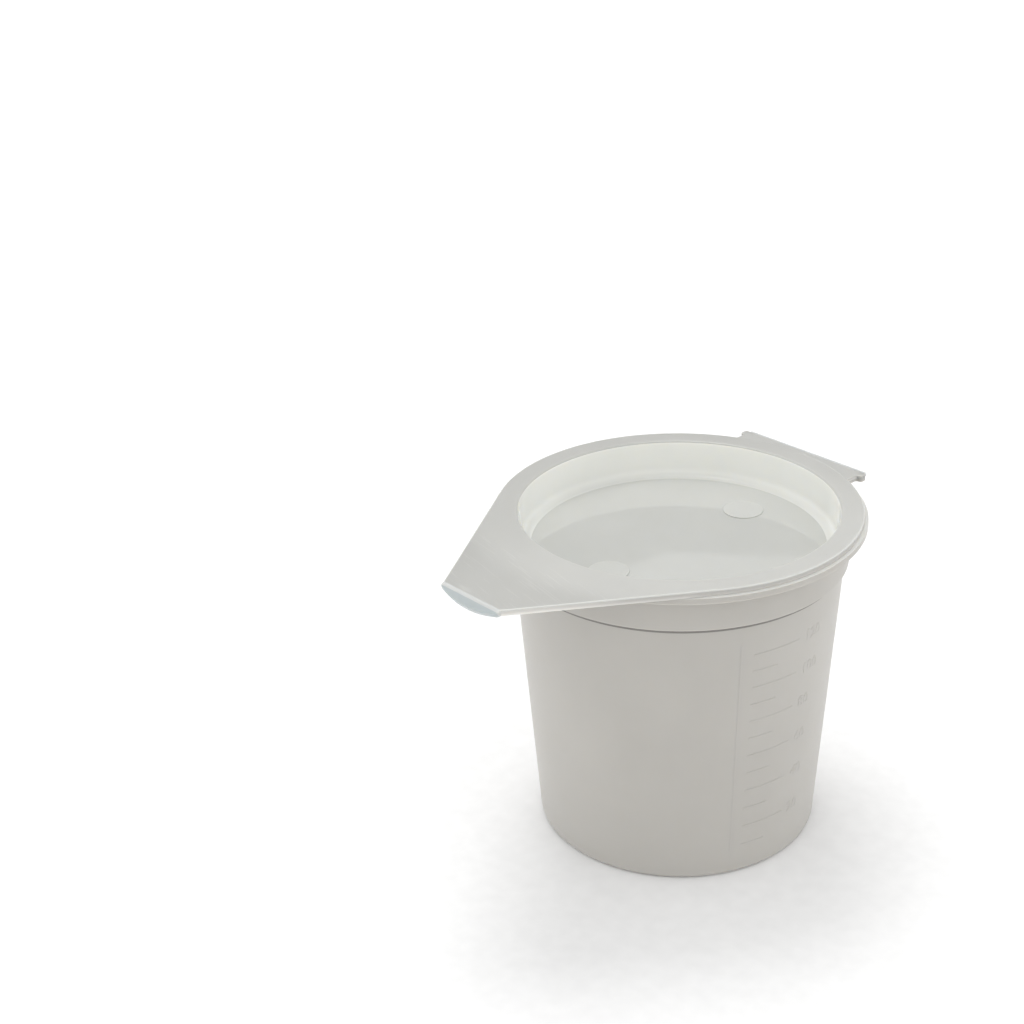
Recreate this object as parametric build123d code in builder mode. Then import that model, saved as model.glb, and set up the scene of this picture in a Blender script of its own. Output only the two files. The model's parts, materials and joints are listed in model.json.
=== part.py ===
"""Specimen beaker with an attached snap lid: cup, film hinge and lid of one polypropylene moulding.

Frame: origin at the centre of the foot, on the surface the beaker stands on. +Z is up, +Y points to
the hinge and -Y to the pull tab. The lid is modelled closed. All sizes are in millimetres.
"""

import os
from math import cos, pi, radians, sin, tan

from build123d import *

# Cup: outside form
cup_height = 65.0
flange_radius = 35.5
flange_thickness = 1.3
flange_edge_bevel = 0.3
flange_overhang = 2.9  # of the flange beyond the top of the collar
collar_draft = 0.3  # the collar is this much narrower at its foot
ledge_depth = 8.3  # from the rim down to the step under the collar
ledge_width = 0.8
wall_draft = 4.1  # the wall under the step is this much narrower at the table
foot_corner_bevel = 1.0

# Cup: inside form
wall_thickness = 0.9
base_thickness = 1.1
foot_rise = 1.0  # the base is lifted this far inside the foot ring
foot_ring_width = 1.7
foot_ring_draft = 0.5  # the ring's inner side leans inwards by this much
floor_corner_bevel = 1.2
inner_step_rise = 0.55  # the step inside lies this far above the one outside
mouth_lead_in = 0.6
gate_mark_radius = 2.0
gate_mark_depth = 0.3

# Graduations on the wall, in millilitres
graduation_step = 10
graduation_headroom = 5.0  # kept bare under the step
graduation_width = 0.45
graduation_relief = 0.16
short_mark_arc = 10.0
long_mark_arc = 19.0
marks_start_angle = -20.0  # degrees from +X, where every mark begins

# Film hinge
fold_overhang = 2.2  # of the fold line beyond the cup's flange
film_length = 1.9  # along the bend, between the two leaves
film_thickness = 0.25
leaf_thickness = 0.65
leaf_neck_half_width = 14.6
leaf_ear_width = 1.1  # of the ear that stands out at each end of the leaf's outer bar
leaf_ear_depth = 1.8  # of the bar, from the film inwards
leaf_corner_round = 0.8
leaf_neck_round = 0.5

# Lid
seat_gap = 0.15  # between the two flanges when closed
lid_flange_inset = 0.7  # the lid's flange is this much smaller than the cup's
lid_thickness = 1.0
lid_edge_bevel = 0.3
plug_clearance = 0.35  # between the plug's seal band and the collar
plug_step_clearance = 0.55  # between the underside of the plug and the step inside the cup
seal_band_height = 2.0
seal_band_relief = 0.3
plug_draft = 0.2
plug_wall = 1.0
plug_floor = 1.0
plug_lead_in = 0.8
recess_rim_round = 0.5
recess_corner_bevel = 1.2
pad_radius = 3.9
pad_offset = 18.5
pad_relief = 0.2

# Pull tab
tab_length = 17.0  # from the edge of the lid's flange to the crease at the end of the tab
tab_half_width = 7.4
tab_corner_round = 1.5
lip_length = 2.1  # of the bent lip, down its slope
lip_angle = 38.0  # degrees below level
crease_round = 0.5

# Radii of the cup, from the rim down
collar_top_radius = flange_radius - flange_overhang
collar_base_radius = collar_top_radius - collar_draft
wall_top_radius = collar_base_radius - ledge_width
foot_radius = wall_top_radius - wall_draft

# Levels of the cup
rim_level = cup_height
flange_underside = rim_level - flange_thickness
ledge_level = rim_level - ledge_depth
inner_ledge_level = ledge_level + inner_step_rise
floor_level = foot_rise + base_thickness
wall_slope = wall_draft / ledge_level
collar_slope = collar_draft / (flange_underside - ledge_level)

# Hinge
fold_distance = flange_radius + fold_overhang
fold_level = rim_level + seat_gap / 2
leaf_edge = fold_distance - film_length / 2
leaf_half_width = leaf_neck_half_width + leaf_ear_width
film_half_width = leaf_half_width - leaf_corner_round

# Levels and radii of the lid
lid_underside = rim_level + seat_gap
lid_top = lid_underside + lid_thickness
lid_flange_radius = flange_radius - lid_flange_inset
tab_reach = lid_flange_radius + tab_length
plug_bottom = inner_ledge_level + plug_step_clearance
plug_floor_level = plug_bottom + plug_floor
collar_inner_top = collar_top_radius + collar_slope * flange_thickness - wall_thickness
seal_radius = collar_inner_top - plug_clearance
plug_root_radius = seal_radius - seal_band_relief
plug_foot_radius = plug_root_radius - plug_draft
recess_root_radius = seal_radius - plug_wall
recess_floor_radius = plug_foot_radius - plug_wall


def wall_radius(level):
    """Outside radius of the tapered wall at a level."""
    return foot_radius + wall_slope * level


def volume_level(millilitres):
    """Level of the liquid's surface when the cup holds this volume."""
    floor_radius = wall_radius(floor_level) - wall_thickness
    cube = floor_radius**3 + 3 * wall_slope * millilitres * 1000 / pi
    return floor_level + (cube ** (1 / 3) - floor_radius) / wall_slope


def nearest_corner(sketch, point):
    """The corner of a profile that lies nearest to a point."""
    return sketch.vertices().sort_by_distance(point)[0]


def leaf_outline(level):
    """Outline of a hinge leaf at a level: a plate whose outer bar ends in a rounded ear on each side."""
    with BuildSketch(Plane.XY.offset(level)) as outline:
        with Locations((0, leaf_edge / 2)):
            Rectangle(2 * leaf_neck_half_width, leaf_edge)
        with Locations((0, leaf_edge - leaf_ear_depth / 2)):
            Rectangle(2 * leaf_half_width, leaf_ear_depth)
        by_distance = outline.vertices().group_by(Axis.Y)
        fillet(by_distance[-1], leaf_corner_round)
        fillet(by_distance[1], leaf_neck_round)
    return outline.sketch


# Cup: one revolved wall with its foot ring, step, collar and flange, and the hinge leaf
with BuildPart() as cup:
    foot_inner = foot_radius - foot_ring_width
    inner_foot = (wall_radius(floor_level) - wall_thickness, floor_level)
    inner_step = (wall_radius(inner_ledge_level) - wall_thickness, inner_ledge_level)
    collar_inner_base = collar_base_radius + collar_slope * (inner_ledge_level - ledge_level) - wall_thickness
    mouth_corner = (collar_inner_top, rim_level)
    rim_corner = (flange_radius, rim_level)
    lower_rim_corner = (flange_radius, flange_underside)
    with BuildSketch(Plane.XZ) as cup_profile:
        with BuildLine():
            Polyline(
                (0, foot_rise + gate_mark_depth),
                (gate_mark_radius, foot_rise + gate_mark_depth),
                (gate_mark_radius, foot_rise),
                (foot_inner - foot_ring_draft, foot_rise),
                (foot_inner, 0),
                (foot_radius, 0),
                (wall_top_radius, ledge_level),
                (collar_base_radius, ledge_level),
                (collar_top_radius, flange_underside),
                lower_rim_corner,
                rim_corner,
                mouth_corner,
                (collar_inner_base, inner_ledge_level),
                inner_step,
                inner_foot,
                (0, floor_level),
                close=True,
            )
        make_face()
        chamfer(nearest_corner(cup_profile, (foot_radius, 0)), foot_corner_bevel)
        chamfer(nearest_corner(cup_profile, rim_corner), flange_edge_bevel)
        chamfer(nearest_corner(cup_profile, lower_rim_corner), flange_edge_bevel)
        chamfer(nearest_corner(cup_profile, mouth_corner), mouth_lead_in)
        chamfer(nearest_corner(cup_profile, inner_foot), floor_corner_bevel)
    revolve(axis=Axis.Z)
    with BuildSketch(Plane.XY.offset(rim_level)) as cup_leaf:
        add(leaf_outline(rim_level))
        Circle(flange_radius - flange_edge_bevel - wall_thickness, mode=Mode.SUBTRACT)
    extrude(amount=-leaf_thickness)
    millilitres = graduation_step
    while volume_level(millilitres) < ledge_level - graduation_headroom:
        is_long = millilitres % (2 * graduation_step) == 0
        mark_level = volume_level(millilitres)
        with BuildSketch(Plane.XZ.rotated((0, 0, marks_start_angle))) as mark:
            with Locations((wall_radius(mark_level), mark_level)):
                Rectangle(2 * graduation_relief, graduation_width)
        revolve(axis=Axis.Z, revolution_arc=long_mark_arc if is_long else short_mark_arc)
        millilitres += graduation_step
cup.part.label = "cup"

# Film hinge: the thin web, folded back on itself between the two leaves
with BuildPart() as hinge_film:
    inner_bend = seat_gap / 2
    outer_bend = inner_bend + film_thickness
    with BuildSketch(Plane.YZ.offset(-film_half_width)) as film_profile:
        with BuildLine():
            Line((leaf_edge, fold_level - outer_bend), (fold_distance, fold_level - outer_bend))
            CenterArc((fold_distance, fold_level), outer_bend, -90, 180)
            Line((fold_distance, fold_level + outer_bend), (leaf_edge, fold_level + outer_bend))
            Line((leaf_edge, fold_level + outer_bend), (leaf_edge, fold_level + inner_bend))
            Line((leaf_edge, fold_level + inner_bend), (fold_distance, fold_level + inner_bend))
            CenterArc((fold_distance, fold_level), inner_bend, 90, -180)
            Line((fold_distance, fold_level - inner_bend), (leaf_edge, fold_level - inner_bend))
            Line((leaf_edge, fold_level - inner_bend), (leaf_edge, fold_level - outer_bend))
        make_face()
    extrude(amount=2 * film_half_width)
hinge_film.part.label = "hinge_film"

# Lid: drop-shaped flange with a bent lip, the hinge leaf and a recessed plug
with BuildPart() as lid:
    lip_end = -tab_reach - lip_length * cos(radians(lip_angle))
    lip_drop = lip_length * sin(radians(lip_angle))
    crease_inset = lid_thickness * tan(radians(lip_angle / 2))
    with BuildSketch(Plane.XY.offset(lid_underside - lip_drop)) as lid_plan:
        with BuildLine():
            CenterArc((0, 0), lid_flange_radius, 0, 360)
            ThreePointArc((-tab_half_width, -tab_reach), (0, lip_end), (tab_half_width, -tab_reach))
        make_hull()
        fillet(nearest_corner(lid_plan, (-tab_half_width, -tab_reach)), tab_corner_round)
        fillet(nearest_corner(lid_plan, (tab_half_width, -tab_reach)), tab_corner_round)
    extrude(amount=lip_drop + lid_thickness)
    with BuildSketch(Plane.YZ) as lid_side:
        with BuildLine():
            Polyline(
                (lid_flange_radius, lid_top),
                (-tab_reach, lid_top),
                (lip_end, lid_top - lip_drop),
                (lip_end, lid_underside - lip_drop),
                (-tab_reach + crease_inset, lid_underside),
                (lid_flange_radius, lid_underside),
                close=True,
            )
        make_face()
        fillet(nearest_corner(lid_side, (-tab_reach, lid_top)), crease_round)
    extrude(amount=lid_flange_radius, both=True, mode=Mode.INTERSECT)
    lid_outline = lid.faces().filter_by(Axis.Z).sort_by(Axis.Z)[-1].edges()
    chamfer([edge for edge in lid_outline if edge not in lid_outline.filter_by(Axis.X)], lid_edge_bevel)
    extrude(leaf_outline(lid_underside), amount=leaf_thickness)
    with BuildSketch(Plane.XZ) as plug_profile:
        with BuildLine():
            Polyline(
                (0, plug_bottom),
                (plug_foot_radius, plug_bottom),
                (plug_root_radius, lid_underside - seal_band_height - seal_band_relief),
                (seal_radius, lid_underside - seal_band_height),
                (seal_radius, lid_top),
                (0, lid_top),
                close=True,
            )
        make_face()
        chamfer(nearest_corner(plug_profile, (plug_foot_radius, plug_bottom)), plug_lead_in)
    revolve(axis=Axis.Z)
    with BuildSketch(Plane.XZ) as recess_profile:
        rim_round_level = lid_top - recess_rim_round
        with BuildLine():
            Polyline(
                (recess_root_radius, rim_round_level),
                (recess_floor_radius, plug_floor_level),
                (0, plug_floor_level),
                (0, lid_top),
                (recess_root_radius + recess_rim_round, lid_top),
            )
            CenterArc((recess_root_radius + recess_rim_round, rim_round_level), recess_rim_round, 90, 90)
        make_face()
        chamfer(nearest_corner(recess_profile, (recess_floor_radius, plug_floor_level)), recess_corner_bevel)
    revolve(axis=Axis.Z, mode=Mode.SUBTRACT)
    with BuildSketch(Plane.XY.offset(plug_floor_level)) as pads:
        with Locations((0, pad_offset), (0, -pad_offset)):
            Circle(pad_radius)
    extrude(amount=pad_relief)
lid.part.label = "lid"

os.makedirs("parts", exist_ok=True)
export_step(cup.part, "parts/cup.step")
export_step(hinge_film.part, "parts/hinge_film.step")
export_step(lid.part, "parts/lid.step")
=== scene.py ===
"""Looks of the specimen beaker with an attached snap lid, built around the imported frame.

The beaker is one moulding of natural polypropylene: a tapered, graduated cup, a drop-shaped lid with a
recessed plug and a pull tab, and the thin film that joins the two. Every size is in metres, in the
frame's own place: +Z is up, +Y points to the hinge and -Y to the pull tab.
"""

import json
import logging
from collections.abc import Callable, Iterator
from contextlib import contextmanager
from dataclasses import dataclass
from enum import Enum
from itertools import pairwise
from math import acos, atan2, cos, degrees, hypot, pi, radians, sin, tan

import bmesh
import bpy
from mathutils import Matrix, Vector


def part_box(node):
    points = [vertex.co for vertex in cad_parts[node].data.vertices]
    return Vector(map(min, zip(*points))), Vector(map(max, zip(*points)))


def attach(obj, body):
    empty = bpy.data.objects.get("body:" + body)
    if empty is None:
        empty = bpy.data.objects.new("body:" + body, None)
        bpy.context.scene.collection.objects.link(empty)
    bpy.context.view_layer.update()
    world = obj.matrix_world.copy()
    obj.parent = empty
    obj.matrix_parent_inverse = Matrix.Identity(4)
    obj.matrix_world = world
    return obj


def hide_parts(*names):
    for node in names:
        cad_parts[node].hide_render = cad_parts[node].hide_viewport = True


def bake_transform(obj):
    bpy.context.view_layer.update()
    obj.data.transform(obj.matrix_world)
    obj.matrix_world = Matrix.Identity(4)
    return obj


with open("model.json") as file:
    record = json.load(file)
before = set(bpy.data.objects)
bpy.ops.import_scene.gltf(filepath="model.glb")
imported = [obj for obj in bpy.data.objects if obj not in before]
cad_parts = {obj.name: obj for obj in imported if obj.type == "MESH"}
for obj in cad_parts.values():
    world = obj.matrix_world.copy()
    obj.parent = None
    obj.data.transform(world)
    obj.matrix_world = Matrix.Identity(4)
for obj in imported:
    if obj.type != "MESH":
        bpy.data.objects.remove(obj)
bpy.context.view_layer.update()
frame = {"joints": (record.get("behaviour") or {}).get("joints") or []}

MM = 0.001
MILLILITRE = 1e-6  # in cubic metres
SPIN_STEPS = 192  # round the whole cup
ROUND_STEPS = 4  # in one rounded corner
EDGE_STEPS = 3  # in one eased edge
WELD = 1e-7
HAIR = 0.01 * MM  # the finest slack when faces are told apart by their place
BEYOND = 2 * MM  # how far a cutter reaches past what it cuts
UPRIGHT = 0.2  # a face whose normal rises less than this counts as upright
LEVEL = 0.98  # and one whose normal rises more counts as level

log = logging.getLogger("beaker")


class Element(Enum):
    """What an edit-mode selection is made of."""

    VERTEX = "VERT"
    EDGE = "EDGE"
    FACE = "FACE"


class Fusion(Enum):
    """How one solid is combined with another."""

    JOIN = "UNION"
    CUT = "DIFFERENCE"


class Body(Enum):
    """The bodies of the frame that pieces ride on."""

    CUP = "cup"
    LID = "lid"


class Slot(Enum):
    """The record's material slots."""

    CUP = "cup_polypropylene"
    FILM = "film_polypropylene"
    LID = "lid_polypropylene"


@dataclass(frozen=True)
class FrameSizes:
    """The driving sizes, measured on the fixed CAD nodes.

    Attributes:
        rim_level: Top of the cup's flange.
        flange_radius: Outer radius of the cup's flange.
        lid_flange_radius: Outer radius of the lid's flange.
        lid_top: Top face of the lid.
        lid_underside: Underside of the lid's flange.
        lip_end: How far the tab's lip reaches from the axis.
        plug_bottom: Underside of the plug.
        leaf_edge: How far the hinge leaves reach from the axis.
        film_half_width: Half the width of the film.
        fold: The hinge's axis, where it crosses the middle of the beaker.
    """

    rim_level: float
    flange_radius: float
    lid_flange_radius: float
    lid_top: float
    lid_underside: float
    lip_end: float
    plug_bottom: float
    leaf_edge: float
    film_half_width: float
    fold: Vector

    @classmethod
    def measured(cls) -> "FrameSizes":
        """Read the sizes from the nodes' boxes and the joint.

        Returns:
            The sizes, in metres.
        """
        _, cup_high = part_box("cup")
        lid_low, lid_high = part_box("lid")
        _, film_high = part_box("hinge_film")
        fold = Vector(frame["joints"][0]["pos_m"])
        return cls(
            rim_level=cup_high.z,
            flange_radius=cup_high.x,
            lid_flange_radius=lid_high.x,
            lid_top=lid_high.z,
            lid_underside=2 * fold.z - cup_high.z,
            lip_end=-lid_low.y,
            plug_bottom=lid_low.z,
            leaf_edge=cup_high.y,
            film_half_width=film_high.x,
            fold=fold,
        )


@dataclass(frozen=True)
class Corner:
    """One corner of an outline.

    Attributes:
        place: Where the corner is.
        rounding: How far along its two edges the corner is rounded off.
    """

    place: Vector
    rounding: float = 0.0


def upright(radius: float, level: float, rounding: float = 0.0) -> Corner:
    """A corner of a turned section: its radius, its level and its rounding."""
    return Corner(Vector((radius, 0, level)), rounding)


def deselect_all() -> None:
    """Leave nothing selected, the CAD nodes included."""
    bpy.ops.object.select_all(action="DESELECT")


def reach(face: bmesh.types.BMFace) -> float:
    """How far the farthest corner of a face lies from the upright axis."""
    return max(vertex.co.to_2d().length for vertex in face.verts)


def middle_level(face: bmesh.types.BMFace) -> float:
    """The mean level of a face's corners."""
    return sum(vertex.co.z for vertex in face.verts) / len(face.verts)


def near(place: Vector) -> Callable[[bmesh.types.BMVert], bool]:
    """A test for the vertex at a place."""
    return lambda vertex: (vertex.co - place).length < 10 * WELD


class Workpiece:
    """One mesh in the making, shaped with Blender's own operators as by hand."""

    def __init__(self, made: bpy.types.Object) -> None:
        """Take up an object that has just been added."""
        self.obj = made

    @classmethod
    def from_point(cls, name: str, place: Vector) -> "Workpiece":
        """Start from a small plane that is merged to one vertex.

        Args:
            name: The object's name.
            place: Where the vertex goes.

        Returns:
            The workpiece, with its one vertex.
        """
        deselect_all()
        bpy.ops.mesh.primitive_plane_add(size=MM)
        piece = cls(bpy.context.object)
        piece.obj.name = piece.obj.data.name = name
        with piece.editing():
            bpy.ops.mesh.select_all(action="SELECT")
            bpy.ops.mesh.merge(type="CENTER")
            bpy.ops.transform.translate(value=place)
        return piece

    @classmethod
    def outlined(cls, name: str, corners: list[Corner]) -> "Workpiece":
        """Draw a closed flat outline and fill it.

        Args:
            name: The object's name.
            corners: The outline's corners in order.

        Returns:
            A workpiece with one face.
        """
        piece = cls.from_point(name, corners[0].place)
        with piece.editing():
            piece.draw([*corners, corners[0]])
            piece.weld()
            piece.round_off(corners)
            bpy.ops.mesh.select_all(action="SELECT")
            bpy.ops.mesh.edge_face_add()
        return piece

    @classmethod
    def turned(cls, name: str, corners: list[Corner]) -> "Workpiece":
        """Spin an open section, which starts and ends on the axis, into a solid.

        Args:
            name: The object's name.
            corners: The section's corners, from the axis and back to it.

        Returns:
            A closed solid of revolution.
        """
        piece = cls.from_point(name, corners[0].place)
        with piece.editing():
            piece.draw(corners)
            piece.round_off(corners)
            piece.spin(2 * pi, SPIN_STEPS)
        return piece

    @contextmanager
    def editing(self) -> Iterator[None]:
        """Work on this piece alone in edit mode, vertices first, then go back to object mode.

        Yields:
            Nothing, while the piece is in edit mode.
        """
        self.activate()
        bpy.context.tool_settings.mesh_select_mode = (True, False, False)
        bpy.ops.object.mode_set(mode="EDIT")
        try:
            yield
        finally:
            bpy.ops.object.mode_set(mode="OBJECT")

    def activate(self) -> None:
        """Make this piece the only selected one."""
        deselect_all()
        self.obj.select_set(True)
        bpy.context.view_layer.objects.active = self.obj

    def select(self, test: Callable[..., bool], kind: Element = Element.VERTEX) -> None:
        """Select what passes a test, in edit mode.

        Args:
            test: Called with each vertex, edge or face.
            kind: Which of the three are tested.
        """
        bpy.ops.mesh.select_mode(type=kind.value)
        bpy.ops.mesh.select_all(action="DESELECT")
        mesh = bmesh.from_edit_mesh(self.obj.data)
        parts = {Element.VERTEX: mesh.verts, Element.EDGE: mesh.edges, Element.FACE: mesh.faces}
        for part in parts[kind]:
            if test(part):
                part.select_set(True)
        mesh.select_flush_mode()
        bmesh.update_edit_mesh(self.obj.data)

    def draw(self, corners: list[Corner]) -> None:
        """Pull the selected vertex from corner to corner, leaving edges behind.

        Args:
            corners: The corners; the vertex stands at the first one.
        """
        for before, after in pairwise(corners):
            step = after.place - before.place
            bpy.ops.mesh.extrude_region_move(TRANSFORM_OT_translate={"value": step})

    def round_off(self, corners: list[Corner]) -> None:
        """Bevel each corner that has a rounding, while the outline is still a wire.

        Args:
            corners: The outline's corners.
        """
        for corner in corners:
            if corner.rounding:
                self.select(near(corner.place))
                bpy.ops.mesh.bevel(offset=corner.rounding, segments=ROUND_STEPS, affect="VERTICES")

    def spin(self, angle: float, steps: int) -> None:
        """Turn everything round the upright axis and weld the seam and the poles.

        Args:
            angle: How far it is turned.
            steps: In how many steps.
        """
        bpy.ops.mesh.select_all(action="SELECT")
        bpy.ops.mesh.spin(steps=steps, angle=angle, center=(0, 0, 0), axis=(0, 0, 1))
        self.weld()
        self.face_outwards()

    def weld(self) -> None:
        """Merge vertices that lie on each other."""
        bpy.ops.mesh.select_all(action="SELECT")
        bpy.ops.mesh.remove_doubles(threshold=WELD)

    def face_outwards(self) -> None:
        """Turn every face to the outside of the solid."""
        bpy.ops.mesh.select_all(action="SELECT")
        bpy.ops.mesh.normals_make_consistent(inside=False)

    def thicken(self, by: Vector) -> "Workpiece":
        """Pull the one flat face out into a solid.

        Args:
            by: How far and which way.

        Returns:
            The same workpiece.
        """
        with self.editing():
            bpy.ops.mesh.select_all(action="SELECT")
            bpy.ops.mesh.extrude_region_move(TRANSFORM_OT_translate={"value": by})
            self.face_outwards()
        return self

    def ease_edges(self, test: Callable[[bmesh.types.BMEdge], bool], width: float) -> None:
        """Round the edges that pass a test.

        Args:
            test: Called with each edge.
            width: How far the rounding goes on each side of the edge.
        """
        with self.editing():
            self.select(test, Element.EDGE)
            bpy.ops.mesh.bevel(offset=width, segments=EDGE_STEPS, affect="EDGES")

    def combine(self, other: "Workpiece", how: Fusion) -> None:
        """Join another solid to this one or cut it away, and delete the other.

        Args:
            other: The second solid.
            how: Whether it is joined or cut away.
        """
        modifier = self.obj.modifiers.new(how.name.lower(), "BOOLEAN")
        modifier.operation = how.value
        modifier.solver = "EXACT"
        modifier.object = other.obj
        self.activate()
        bpy.ops.object.modifier_apply(modifier=modifier.name)
        bpy.data.objects.remove(other.obj)

    def absorb(self, others: list["Workpiece"]) -> None:
        """Make the others loose parts of this piece, as one object.

        Args:
            others: The pieces to take in.
        """
        self.activate()
        for other in others:
            other.obj.select_set(True)
        bpy.ops.object.join()

    def paint(
        self, finish: "Polypropylene", test: Callable[[bmesh.types.BMFace], bool] | None = None
    ) -> None:
        """Give the faces that pass a test a finish, or the whole piece where there is no test.

        Args:
            finish: The finish.
            test: Called with each face.
        """
        self.obj.data.materials.append(finish.material())
        if test:
            with self.editing():
                self.select(test, Element.FACE)
                self.obj.active_material_index = len(self.obj.data.materials) - 1
                bpy.ops.object.material_slot_assign()

    def smooth(self, angle: float = radians(32)) -> None:
        """Shade the piece smooth, with its sharp edges and its large faces kept.

        Args:
            angle: The angle between faces beyond which an edge stays sharp.
        """
        self.activate()
        bpy.ops.object.shade_smooth_by_angle(angle=angle)
        modifier = self.obj.modifiers.new("flat_faces", "WEIGHTED_NORMAL")
        modifier.keep_sharp = True
        bpy.ops.object.modifier_apply(modifier=modifier.name)

    def seat(self, body: Body, slot: Slot, replaced: str | None = None) -> bpy.types.Object:
        """Let the finished piece ride on its body.

        Args:
            body: The body that carries it.
            slot: The record's slot for its finish; not used.
            replaced: The CAD node that it stands for.

        Returns:
            The finished object.
        """
        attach(self.obj, body.value)
        if replaced:
            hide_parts(replaced)
        return self.obj


Rgba = tuple[float, float, float, float]
Socket = bpy.types.NodeSocket
NOISE_SPAN = (0.3, 0.7)  # the values between which most of a noise pattern lies


def grey(value: float) -> Rgba:
    """An opaque neutral grey."""
    return (value, value, value, 1.0)


class NodeBoard:
    """A short way to add and wire the nodes of a material or of the world."""

    def __init__(
        self, owner: bpy.types.Material | bpy.types.World, shader: str = "Principled BSDF"
    ) -> None:
        """Start with nothing but the shader and the output.

        Args:
            owner: The material or the world.
            shader: The name of its shader node.
        """
        owner.use_nodes = True
        self.nodes = owner.node_tree.nodes
        self.links = owner.node_tree.links
        self.shader = self.nodes[shader]

    def add(self, kind: str, inputs: dict[str | int, object], **settings: object) -> bpy.types.Node:
        """Add one node.

        Args:
            kind: The node's type.
            inputs: A value, or a socket to link, for each named input.
            settings: The node's own properties.

        Returns:
            The node.
        """
        node = self.nodes.new(kind)
        for key, value in settings.items():
            setattr(node, key, value)
        self.feed(node, inputs)
        return node

    def feed(self, node: bpy.types.Node, inputs: dict[str | int, object]) -> None:
        """Set a node's inputs, linking those that are given as sockets.

        Args:
            node: The node.
            inputs: A value or a socket for each named input.
        """
        for key, value in inputs.items():
            if isinstance(value, Socket):
                self.links.new(value, node.inputs[key])
            else:
                node.inputs[key].default_value = value

    def noise(self, place: Socket, scale: float, detail: float) -> Socket:
        """Add a noise pattern and return its value."""
        inputs = {"Vector": place, "Scale": scale, "Detail": detail}
        return self.add("ShaderNodeTexNoise", inputs).outputs["Fac"]

    def mix(self, share: Socket, first: object, second: object, how: str = "MIX") -> Socket:
        """Lay the second colour over the first by a share, and return the result."""
        inputs = {0: share, 6: first, 7: second}
        return self.add("ShaderNodeMix", inputs, data_type="RGBA", blend_type=how).outputs[2]

    def along(self, place: Socket, way: tuple[float, float, float]) -> Socket:
        """How far a place or a direction reaches along a way."""
        inputs = {0: place, 1: way}
        return self.add("ShaderNodeVectorMath", inputs, operation="DOT_PRODUCT").outputs["Value"]

    def calculate(self, operation: str, *values: object) -> Socket:
        """The result of a sum, product or the like of plain values."""
        return self.add("ShaderNodeMath", dict(enumerate(values)), operation=operation).outputs[0]

    def measure(self, value: Socket, start: float, end: float) -> Socket:
        """How far a value has come on its way from start to end, as 0 to 1, eased at both ends."""
        limits = {"Value": value, "From Min": start, "From Max": end}
        return self.add("ShaderNodeMapRange", limits, interpolation_type="SMOOTHSTEP").outputs["Result"]

    def tint(self, pattern: Socket, dark: Rgba, light: Rgba) -> Socket:
        """Colour a noise pattern.

        Args:
            pattern: The pattern's value.
            dark: The colour at its low end.
            light: The colour at its high end.

        Returns:
            The colour.
        """
        node = self.add("ShaderNodeValToRGB", {"Fac": pattern})
        for element, position, colour in zip(node.color_ramp.elements, NOISE_SPAN, (dark, light)):
            element.position = position
            element.color = colour
        return node.outputs["Color"]


class Across(Enum):
    """What a fade is measured along."""

    HEIGHT = "height"
    RADIUS = "radius"
    LEFT = "left"
    BACK = "back"


WAYS = {Across.HEIGHT: (0.0, 0.0, 1.0), Across.LEFT: (-1.0, 0.0, 0.0), Across.BACK: (0.0, 1.0, 0.0)}


@dataclass(frozen=True)
class Fade:
    """A smooth change of tone from one place on a piece to another, which paints light and shade onto it.

    Attributes:
        along: Which way it goes.
        start: Where it begins.
        end: Where it is complete.
        factor: How much lighter or darker the tone is past the end.
    """

    along: Across
    start: float
    end: float
    factor: float

    def share(self, board: NodeBoard, place: Socket) -> Socket:
        """How far the fade has come at a place: 0 before its start, 1 past its end.

        Args:
            board: The material's nodes.
            place: The place on the piece.

        Returns:
            The share.
        """
        if self.along is Across.RADIUS:
            flat = board.add("ShaderNodeVectorMath", {0: place, 1: (1.0, 1.0, 0.0)}, operation="MULTIPLY")
            length = {0: flat.outputs["Vector"]}
            reached = board.add("ShaderNodeVectorMath", length, operation="LENGTH").outputs["Value"]
        else:
            reached = board.along(place, WAYS[self.along])
        return board.measure(reached, self.start, self.end)


SCRATCH_TURN = radians(-12)
SCRATCH_SIZE = (9.0 * MM, 0.5 * MM, 9.0 * MM)  # length, width and depth
SCRATCH_CORE = (0.6, 0.7)  # the values of the noise between which a scratch's edge lies
REFRACTION = 1.49
COLOUR_DEPTHS = (1.0, 0.95, 0.85)  # how far red, green and blue light travel, for each unit of depth


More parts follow.
